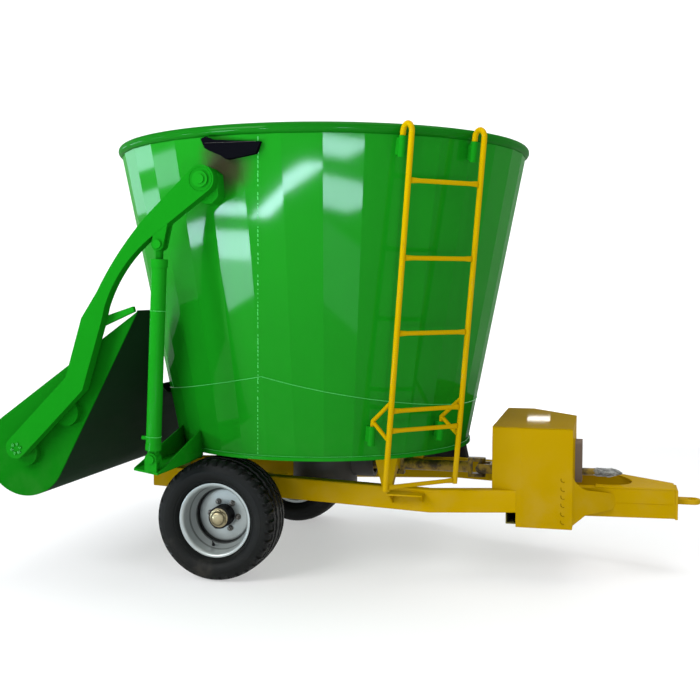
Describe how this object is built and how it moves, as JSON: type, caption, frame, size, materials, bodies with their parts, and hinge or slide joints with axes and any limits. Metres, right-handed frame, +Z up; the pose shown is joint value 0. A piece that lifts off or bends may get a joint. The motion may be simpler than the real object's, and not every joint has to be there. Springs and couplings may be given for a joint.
{
  "type": "vertical feed mixer wagon",
  "caption": "Trailed feed mixer: conical tub with a standing auger on a two-wheeled chassis, drawbar in front, rear loading hopper on lift arms, side discharge door and ladder.",
  "frame": {"origin": "on the ground below the middle of the wagon's length and width", "axes": "+X forward to the hitch eye, +Y to the left side, +Z up"},
  "size_m": [3.9398, 2.706, 2.5245],
  "materials": {
    "green_paint": "gloss paint",
    "yellow_paint": "gloss paint",
    "dark_paint": "satin paint",
    "grey_casting": "painted casting",
    "bare_steel": "plain steel",
    "chromed_rod": "ground and chromed",
    "tyre_rubber": "moulded rubber",
    "wheel_silver": "silver paint",
    "brass_cap": "yellow plated",
    "grey_film": "wrapped film"
  },
  "bodies": {
    "root": {"tub_front_half": "green_paint", "tub_rear_half": "green_paint", "tub_floor": "green_paint", "rim_tube": "green_paint", "gearbox_housing": "grey_casting", "drive_bearings": "dark_paint", "side_beams": "yellow_paint", "cross_beams": "dark_paint", "tub_posts": "yellow_paint", "axle_beam": "dark_paint", "axle_clamps": "yellow_paint", "step_bracket": "yellow_paint", "drive_box": "yellow_paint", "drive_box_lid": "yellow_paint", "drawbar_beams": "yellow_paint", "drawbar_plates": "yellow_paint", "hitch_tongue": "yellow_paint", "drawbar_gusset": "yellow_paint", "arm_brackets": "green_paint", "rim_brackets": "dark_paint", "pivot_pins": "bare_steel", "lift_brackets": "green_paint", "door_frame": "green_paint", "door_cylinder": "green_paint", "discharge_chute": "dark_paint", "ladder_sockets": "green_paint"},
    "auger": {"auger_core": "bare_steel", "auger_flight": "bare_steel", "auger_knives": "bare_steel", "auger_spindle": "bare_steel", "crown_wheel": "bare_steel"},
    "driveline": {"pinion_shaft": "bare_steel", "cardan_shaft": "yellow_paint", "cardan_crosses": "bare_steel", "input_shaft": "bare_steel", "pto_wrap": "grey_film"},
    "hopper": {"hopper_sheet": "green_paint", "hopper_sides": "green_paint", "lift_arms": "green_paint", "arm_spacers": "green_paint", "arm_fasteners": "bare_steel", "arm_ties": "green_paint"},
    "door": {"door_plate": "green_paint", "door_rod": "chromed_rod"},
    "ladder": {"ladder_rails": "yellow_paint", "ladder_rungs": "yellow_paint"},
    "wheel_left": {"tyre_left": "tyre_rubber", "wheel_rim_left": "wheel_silver", "wheel_hub_left": "dark_paint", "wheel_nuts_left": "bare_steel", "hub_cap_left": "brass_cap"},
    "lift_rod_left": {"lift_rod_left": "chromed_rod"},
    "lift_barrel_left": {"lift_barrel_left": "green_paint"},
    "wheel_right": {"tyre_right": "tyre_rubber", "wheel_rim_right": "wheel_silver", "wheel_hub_right": "dark_paint", "wheel_nuts_right": "bare_steel", "hub_cap_right": "brass_cap"},
    "lift_rod_right": {"lift_rod_right": "chromed_rod"},
    "lift_barrel_right": {"lift_barrel_right": "green_paint"}
  },
  "joints": [
    {"name": "auger_spin", "type": "hinge", "parent": "root", "child": "auger", "pos_m": [-0.322, 0, 0.748], "axis": [0, 0, 1], "continuous": true},
    {"name": "driveline_spin", "type": "hinge", "parent": "root", "child": "driveline", "pos_m": [0.118, 0, 0.565], "axis": [1, 0, 0], "continuous": true},
    {"name": "hopper_lift", "type": "hinge", "parent": "root", "child": "hopper", "pos_m": [-0.619, 0, 2.231], "axis": [0, 1, 0], "range_deg": [0, 118]},
    {"name": "door_slide", "type": "slide", "parent": "root", "child": "door", "axis": [0.0953, 0.165, 0.9817], "range_m": [0, 0.4]},
    {"name": "ladder_lift", "type": "slide", "parent": "root", "child": "ladder", "axis": [0.0916, -0.0958, 0.9912], "range_m": [0, 0.12]},
    {"name": "wheel_left_spin", "type": "hinge", "parent": "root", "child": "wheel_left", "pos_m": [-0.73, 0.779, 0.35], "axis": [0, 1, 0], "continuous": true},
    {"name": "lift_rod_left_swing", "type": "hinge", "parent": "hopper", "child": "lift_rod_left", "pos_m": [-0.862, 1.3, 1.9], "axis": [0, 1, 0], "range_deg": [-117.01, 0]},
    {"name": "lift_barrel_left_slide", "type": "slide", "parent": "lift_rod_left", "child": "lift_barrel_left", "axis": [-0.0466, 0, -0.9989], "range_m": [0, 0.7035]},
    {"name": "wheel_right_spin", "type": "hinge", "parent": "root", "child": "wheel_right", "pos_m": [-0.73, -0.779, 0.35], "axis": [0, 1, 0], "continuous": true},
    {"name": "lift_rod_right_swing", "type": "hinge", "parent": "hopper", "child": "lift_rod_right", "pos_m": [-0.862, -1.3, 1.9], "axis": [0, 1, 0], "range_deg": [-117.01, 0]},
    {"name": "lift_barrel_right_slide", "type": "slide", "parent": "lift_rod_right", "child": "lift_barrel_right", "axis": [-0.0466, 0, -0.9989], "range_m": [0, 0.7035]}
  ],
  "couplings": [
    {"joint": "driveline_spin", "follows": "auger_spin", "ratio": -3},
    {"joint": "lift_rod_left_swing", "follows": "hopper_lift", "ratio": -0.99153},
    {"joint": "lift_barrel_left_slide", "follows": "hopper_lift", "m_per_rad": 0.34158},
    {"joint": "lift_rod_right_swing", "follows": "hopper_lift", "ratio": -0.99153},
    {"joint": "lift_barrel_right_slide", "follows": "hopper_lift", "m_per_rad": 0.34158}
  ]
}
